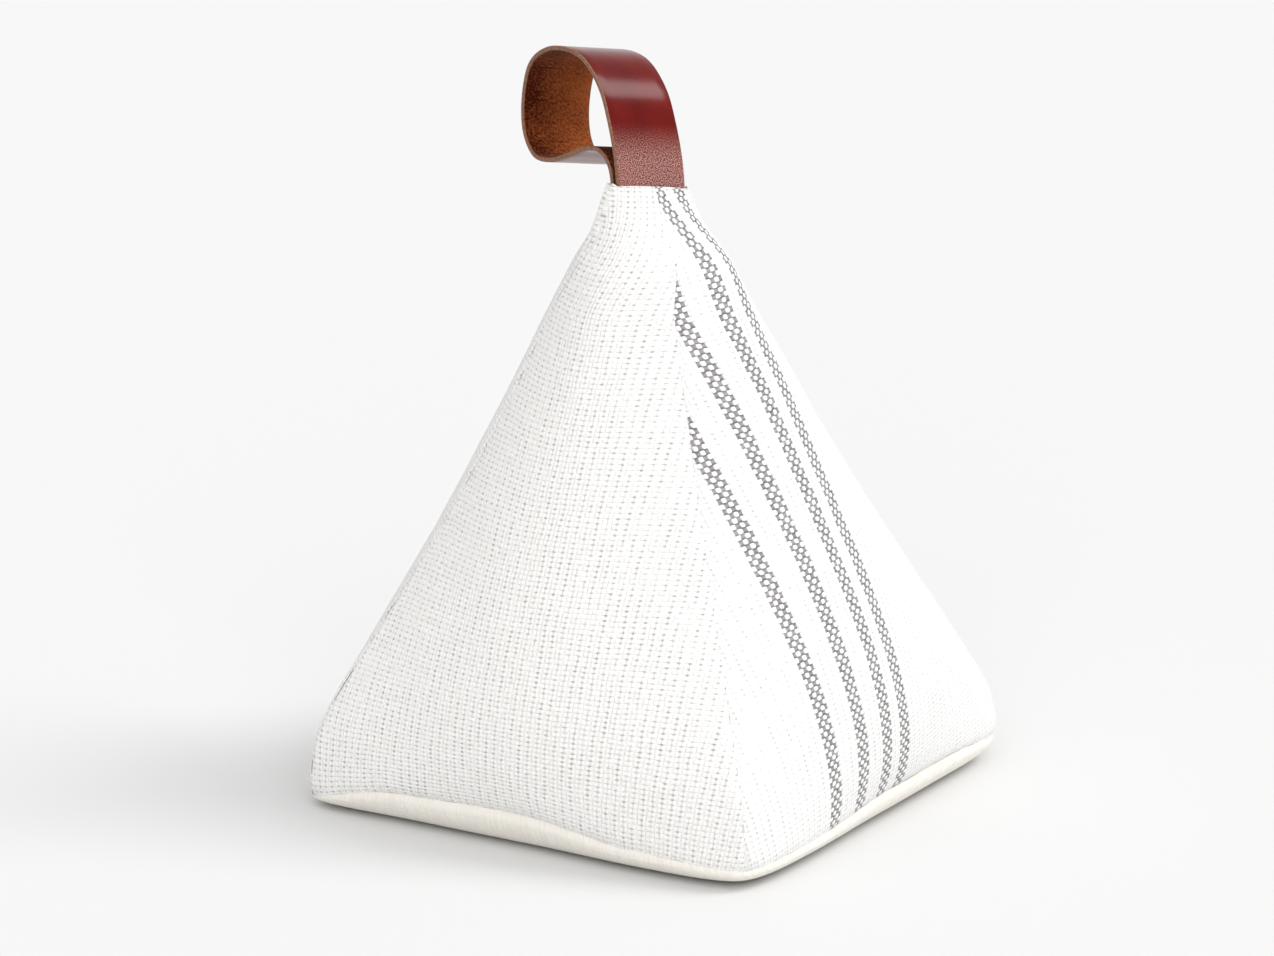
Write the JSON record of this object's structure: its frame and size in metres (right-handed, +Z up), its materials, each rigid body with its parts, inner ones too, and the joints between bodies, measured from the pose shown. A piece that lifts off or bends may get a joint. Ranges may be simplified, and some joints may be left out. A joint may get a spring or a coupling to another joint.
{
  "type": "weighted fabric door stop",
  "caption": "Stuffed woven cloth pyramid with grey stripes on one face, a sealed weight inside and a leather strap loop on top, standing on its square base to hold a door.",
  "frame": {"origin": "on the floor, under the middle of the base", "axes": "+Z up; the plain front panel faces -Y and the striped panel faces +X"},
  "size_m": [0.1736, 0.1736, 0.2293],
  "materials": {
    "woven_cloth": "coarse half-basket weave, matt",
    "base_cloth": "plain close weave, matt",
    "stripe_yarn": "woven stripe, matt",
    "strap_leather": "smooth glossy outside, suede inside",
    "inner_bag": "plain"
  },
  "bodies": {
    "root": {"side_panel_front": "woven_cloth", "side_panel_striped": "woven_cloth", "side_panel_back": "woven_cloth", "side_panel_left": "woven_cloth", "base_panel": "base_cloth", "stripe_band_1": "stripe_yarn", "stripe_band_2": "stripe_yarn", "stripe_band_3": "stripe_yarn", "stripe_band_4": "stripe_yarn", "leather_loop": "strap_leather", "weighted_fill": "inner_bag"}
  },
  "joints": []
}
